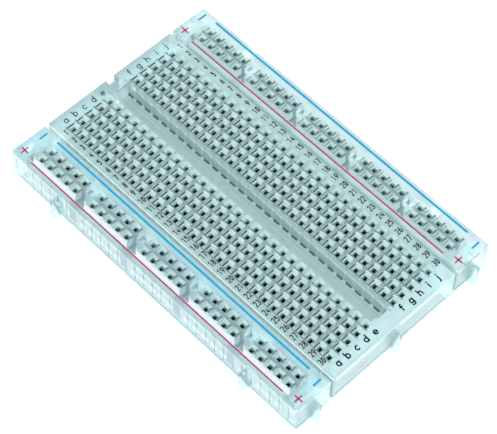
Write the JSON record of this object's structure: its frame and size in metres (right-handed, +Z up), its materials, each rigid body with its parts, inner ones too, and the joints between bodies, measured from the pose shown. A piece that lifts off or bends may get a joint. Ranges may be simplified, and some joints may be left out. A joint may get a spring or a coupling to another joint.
{
  "type": "solderless breadboard",
  "caption": "Clear half-size solderless breadboard: a terminal strip with a centre channel between two clip-on power rails, sprung contacts inside.",
  "frame": {"origin": "on the resting plane, under the middle of the terminal hole pattern, which is the middle of the centre channel", "axes": "+X along the rows from 1 to 30, +Y across the columns from a to j, +Z up"},
  "size_m": [0.0842, 0.056, 0.0085],
  "materials": {
    "clear_plastic": "clear moulded plastic with a faint cyan tint, glossy",
    "contact_metal": "nickel-plated spring strip",
    "foam": "white closed-cell foam tape, matt"
  },
  "bodies": {
    "far_rail": {"far_rail_housing": "clear_plastic", "far_rail_plus_bus": "contact_metal", "far_rail_minus_bus": "contact_metal", "far_rail_foam_pad": "foam"},
    "terminal_strip": {"terminal_strip_housing": "clear_plastic", "strip_foam_pad": "foam", "contact_clips_row_01": "contact_metal", "contact_clips_row_02": "contact_metal", "contact_clips_row_03": "contact_metal", "contact_clips_row_04": "contact_metal", "contact_clips_row_05": "contact_metal", "contact_clips_row_06": "contact_metal", "contact_clips_row_07": "contact_metal", "contact_clips_row_08": "contact_metal", "contact_clips_row_09": "contact_metal", "contact_clips_row_10": "contact_metal", "contact_clips_row_11": "contact_metal", "contact_clips_row_12": "contact_metal", "contact_clips_row_13": "contact_metal", "contact_clips_row_14": "contact_metal", "contact_clips_row_15": "contact_metal", "contact_clips_row_16": "contact_metal", "contact_clips_row_17": "contact_metal", "contact_clips_row_18": "contact_metal", "contact_clips_row_19": "contact_metal", "contact_clips_row_20": "contact_metal", "contact_clips_row_21": "contact_metal", "contact_clips_row_22": "contact_metal", "contact_clips_row_23": "contact_metal", "contact_clips_row_24": "contact_metal", "contact_clips_row_25": "contact_metal", "contact_clips_row_26": "contact_metal", "contact_clips_row_27": "contact_metal", "contact_clips_row_28": "contact_metal", "contact_clips_row_29": "contact_metal", "contact_clips_row_30": "contact_metal"},
    "near_rail": {"near_rail_housing": "clear_plastic", "near_rail_plus_bus": "contact_metal", "near_rail_minus_bus": "contact_metal", "near_rail_foam_pad": "foam"}
  },
  "joints": [
    {"name": "terminal_strip_lift", "type": "slide", "parent": "far_rail", "child": "terminal_strip", "axis": [0, 0, 1], "range_m": [0, 0.012]},
    {"name": "near_rail_lift", "type": "slide", "parent": "terminal_strip", "child": "near_rail", "axis": [0, 0, 1], "range_m": [0, 0.012]}
  ]
}
